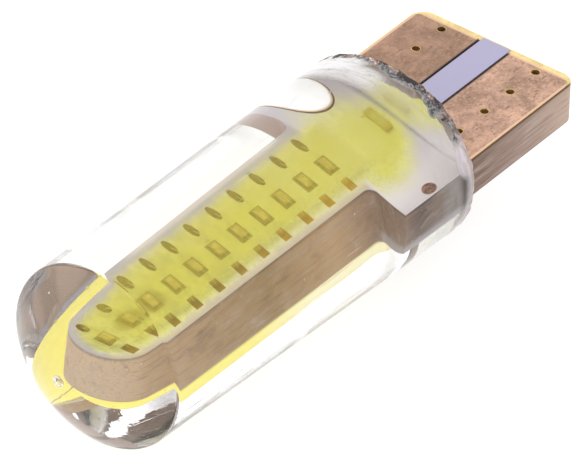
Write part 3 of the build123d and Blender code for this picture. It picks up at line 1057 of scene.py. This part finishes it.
class BULB_OT_chips(bpy.types.Operator):
    """Lands, dies, bond wires, resistors and the phosphor over them"""

    bl_idname = "bulb.chips"
    bl_label = "Chip strip"

    def execute(self, context):
        s = context.scene.bulb_sizes
        for part, name, bright, dull, tip in (
            ("oval_lands", "land plating", (0.195, 0.103, 0.004), (0.125, 0.062, 0.003), None),
            ("square_lands", "square land plating", (0.57, 0.36, 0.016), (0.45, 0.275, 0.012), (0.34, 0.23, 0.012)),
            ("die_pads", "die pad plating", (0.33, 0.25, 0.02), (0.26, 0.19, 0.015), None),
        ):
            dress(both_faces(part), plating_finish(name, bright, dull, 0.0, 0.5, tip))
        gold = plating_finish("bond wire", (0.62, 0.58, 0.13), (0.54, 0.49, 0.10), 0.0, 0.5)
        dress(both_faces("led_dies"), die_finish(s.column_pitch))
        low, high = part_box("top_led_dies")
        values = {
            "Radius": s.wire_radius * MM,
            "Die height": high.z + s.wire_radius * MM,
            "Land height": low.z + s.wire_radius * MM,
            "Loop": 0.1 * MM,
            "Reach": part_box("top_bond_wires")[1].y,
            "Pitch": s.column_pitch * MM,
            "Count": COLUMNS,
            "First": (low.x + high.x) / 2 - (COLUMNS - 1) / 2 * s.column_pitch * MM,
            "Finish": gold,
        }
        dress(["resistor_bodies"], chip_finish("resistor body", (0.76, 0.69, 0.12), (0.70, 0.60, 0.09)))
        dress(["resistor_terminals"], chip_finish("tinned end", (0.72, 0.60, 0.09), (0.66, 0.53, 0.065)))
        tinned = plain_finish("tinned land", (0.78, 0.73, 0.14), (0.77, 0.72, 0.14), 2500.0, Roughness=0.6)
        dress(["resistor_lands"], tinned)
        gel = phosphor_finish(context.scene.bulb_colours)
        thick = thick_finish()
        flat = Matrix.Identity(4)
        over = Matrix.Rotation(math.pi, 4, "X")
        for face, turn, half, tip_x, height, edge, finish in (
            ("top", flat, 1.58, 21.78, s.coat_height, 0.12, gel),
            ("bottom", over, 1.74, 21.6, s.lower_height, 1.25, thick),
        ):
            mesh = coat_mesh(f"{face}_phosphor_coat", turn, half, tip_x, height, edge)
            link_mesh(f"{face}_phosphor_coat", mesh, [finish], [f"{face}_phosphor"])
            mesh = grown_mesh(wires_tree(), values)
            mesh.transform(turn)
            link_mesh(f"{face}_gold_wires", mesh, [gold], [f"{face}_bond_wires"])
        return {"FINISHED"}


class BULB_OT_silicone(bpy.types.Operator):
    """Clear silicone body with its torn rim, and the air trapped in it"""

    bl_idname = "bulb.silicone"
    bl_label = "Silicone"

    def execute(self, context):
        s = context.scene.bulb_sizes
        finishes = [silicone_finish(), hollow_finish(), torn_finish()]
        link_mesh("silicone_body", silicone_mesh(s), finishes, ["silicone_envelope"])
        link_mesh("rim_scuffs", scuff_mesh(s), [scuff_finish()])
        link_mesh("air_blister", blister_mesh(), [blister_finish()])
        return {"FINISHED"}


class BULB_OT_stage(bpy.types.Operator):
    """Pale floor, soft light and the camera"""

    bl_idname = "bulb.stage"
    bl_label = "Stage"

    def execute(self, context):
        scene = context.scene
        scene.view_settings.view_transform = "Standard"
        low, _ = CAD_BOX
        bm = bmesh.new()
        bmesh.ops.create_grid(bm, x_segments=8, y_segments=8, size=FLOOR_SIZE)
        mesh = finished(bm, "floor")
        mesh.transform(Matrix.Translation((0.0, 0.0, low.z - FLOOR_GAP)))
        floor = new_object("floor", mesh)
        shine = {"Roughness": 0.8, "Emission_Color": WHITE, "Emission_Strength": 0.8}
        mesh.materials.append(plain_finish("pale floor", (0.26, 0.26, 0.26), (0.25, 0.25, 0.25), 12.0, **shine))
        world = bpy.data.worlds.new("soft white room")
        world.use_nodes = True
        background = world.node_tree.nodes["Background"]
        background.inputs["Color"].default_value = WHITE
        background.inputs["Strength"].default_value = ROOM_STRENGTH
        scene.world = world
        for name, place, size, power in SOFTBOXES:
            lamp = bpy.data.lights.new(name, "AREA")
            lamp.shape = "SQUARE"
            lamp.size = size
            lamp.energy = power
            light = new_object(name, lamp)
            light.location = place
            aim = Vector(LIGHT_TARGET) - Vector(place)
            light.rotation_euler = aim.to_track_quat("-Z", "Y").to_euler()
        camera = bpy.data.cameras.new("camera")
        camera.sensor_width = 36.0
        camera.sensor_fit = "HORIZONTAL"
        camera.lens = CAMERA_LENS
        camera.clip_start, camera.clip_end = 0.05, 20.0
        eye = new_object("camera", camera)
        right, up = Vector(CAMERA_RIGHT), Vector(CAMERA_UP)
        turn = Matrix((right, up, right.cross(up))).transposed()
        eye.matrix_world = Matrix.Translation(CAMERA_PLACE) @ turn.to_4x4()
        scene.camera = eye
        return {"FINISHED"}


STEPS = ("board", "contacts", "chips", "silicone", "stage")


class BULB_PT_panel(bpy.types.Panel):
    """Lists the steps that dress the bulb."""

    bl_idname = "BULB_PT_panel"
    bl_label = "Wedge LED Bulb"
    bl_space_type = "VIEW_3D"
    bl_region_type = "UI"
    bl_category = "LED Bulb"

    def draw(self, context):
        for step in STEPS:
            self.layout.operator(f"bulb.{step}")


OPERATORS = (BULB_OT_board, BULB_OT_contacts, BULB_OT_chips, BULB_OT_silicone, BULB_OT_stage)
CLASSES = (BulbSizes, BulbColours, *OPERATORS, BULB_PT_panel)


def register():
    for item in CLASSES:
        bpy.utils.register_class(item)
    bpy.types.Scene.bulb_sizes = bpy.props.PointerProperty(type=BulbSizes)
    bpy.types.Scene.bulb_colours = bpy.props.PointerProperty(type=BulbColours)


def unregister():
    del bpy.types.Scene.bulb_sizes
    del bpy.types.Scene.bulb_colours
    for item in reversed(CLASSES):
        bpy.utils.unregister_class(item)


def main():
    register()
    for step in STEPS:
        getattr(bpy.ops.bulb, step)()


if __name__ == "__main__":
    main()
